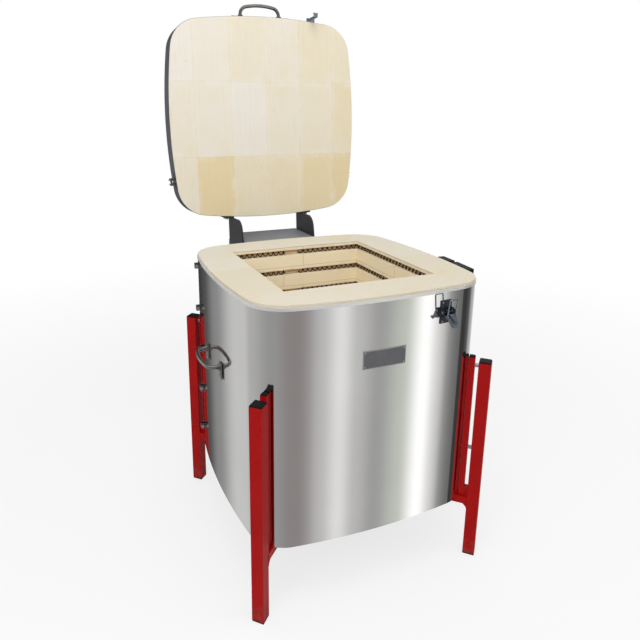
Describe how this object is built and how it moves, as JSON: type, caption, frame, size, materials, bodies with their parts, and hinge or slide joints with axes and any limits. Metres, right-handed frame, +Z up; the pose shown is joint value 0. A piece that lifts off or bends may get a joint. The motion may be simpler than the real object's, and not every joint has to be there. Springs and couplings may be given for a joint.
{
  "type": "top-loading kiln",
  "caption": "Square top-loading ceramic kiln with a mirror-polished steel jacket, brick-lined chamber with heating coils, open hinged brick lid, draw latch and red square-tube stand.",
  "frame": {"origin": "on the floor under the middle of the whole object's bounding box, with the lid open", "axes": "+X to the kiln's right-hand side as seen from the front, +Y to the rear where the hinge is, +Z up"},
  "size_m": [0.7086, 0.8968, 1.4774],
  "materials": {
    "mirror_steel": "polished",
    "zinc_steel": "satin",
    "grey_band": "satin",
    "dark_grey_steel": "satin",
    "bright_chrome": "polished",
    "bolt_steel": "satin",
    "red_paint": "gloss",
    "black_plastic": "matte",
    "insulating_brick": "matte",
    "insulating_board": "matte",
    "element_wire": "matte",
    "porcelain": "satin"
  },
  "bodies": {
    "kiln_body": {"base_beam_halves": "red_paint", "base_beam_long": "red_paint", "base_pan": "zinc_steel", "blank_front_plate": "bolt_steel", "cable_gland": "black_plastic", "connection_box": "zinc_steel", "element_bushings": "porcelain", "element_terminals": "bolt_steel", "floor_bricks": "insulating_brick", "floor_insulation_boards": "insulating_board", "heating_coils": "element_wire", "hinge_axle": "bolt_steel", "hinge_bracket": "zinc_steel", "hinge_washers": "bolt_steel", "inner_posts": "red_paint", "jacket_clamp_lugs": "zinc_steel", "jacket_clamp_screws": "bolt_steel", "jacket_fitting_screws": "bolt_steel", "jacket_front": "mirror_steel", "jacket_rear": "mirror_steel", "latch_base": "zinc_steel", "latch_lever_pin": "bolt_steel", "leg_foot_plugs": "black_plastic", "leg_front_left": "red_paint", "leg_front_right": "red_paint", "leg_rear_left": "red_paint", "leg_rear_right": "red_paint", "lid_switch_bracket": "zinc_steel", "lid_switch_housing": "black_plastic", "post_caps": "black_plastic", "post_spacers": "bright_chrome", "post_studs": "bright_chrome", "rear_fixing_screws": "bolt_steel", "side_handle_left": "bright_chrome", "side_handle_plates": "bright_chrome", "side_handle_right": "bright_chrome", "switch_plug_box": "black_plastic", "thermocouple": "porcelain", "wall_course_1": "insulating_brick", "wall_course_2": "insulating_brick", "wall_course_3": "insulating_brick", "wall_course_4": "insulating_brick", "wall_course_5": "insulating_brick", "wall_course_6": "insulating_brick", "wall_course_7": "insulating_brick"},
    "lid": {"lid_bricks": "insulating_brick", "lid_cover": "zinc_steel", "lid_band_front": "grey_band", "lid_band_rear": "grey_band", "lid_band_clamps": "zinc_steel", "lid_handle": "bright_chrome", "lid_handle_plates": "bright_chrome", "latch_strike": "zinc_steel", "lid_arm_left": "dark_grey_steel", "lid_arm_right": "dark_grey_steel", "lid_arm_bolts": "bolt_steel", "lid_fitting_screws": "bolt_steel"},
    "latch_lever": {"latch_lever": "zinc_steel", "latch_bail_pin": "bolt_steel"},
    "latch_bail": {"latch_bail": "zinc_steel"}
  },
  "joints": [
    {"name": "lid_hinge", "type": "hinge", "parent": "kiln_body", "child": "lid", "pos_m": [0, 0.30098, 0.727], "axis": [1, 0, 0], "range_deg": [0, 93.5]},
    {"name": "latch_lever_pivot", "type": "hinge", "parent": "kiln_body", "child": "latch_lever", "pos_m": [0.16394, -0.4134, 0.706], "axis": [0.9951, 0.0988, 0], "range_deg": [-100, 30]},
    {"name": "latch_bail_pivot", "type": "hinge", "parent": "latch_lever", "child": "latch_bail", "pos_m": [0.16497, -0.42375, 0.69699], "axis": [0.9951, 0.0988, 0], "range_deg": [-37.5, 125]}
  ],
  "couplings": [
    {"joint": "latch_bail_pivot", "follows": "latch_lever_pivot", "ratio": -1.25}
  ]
}
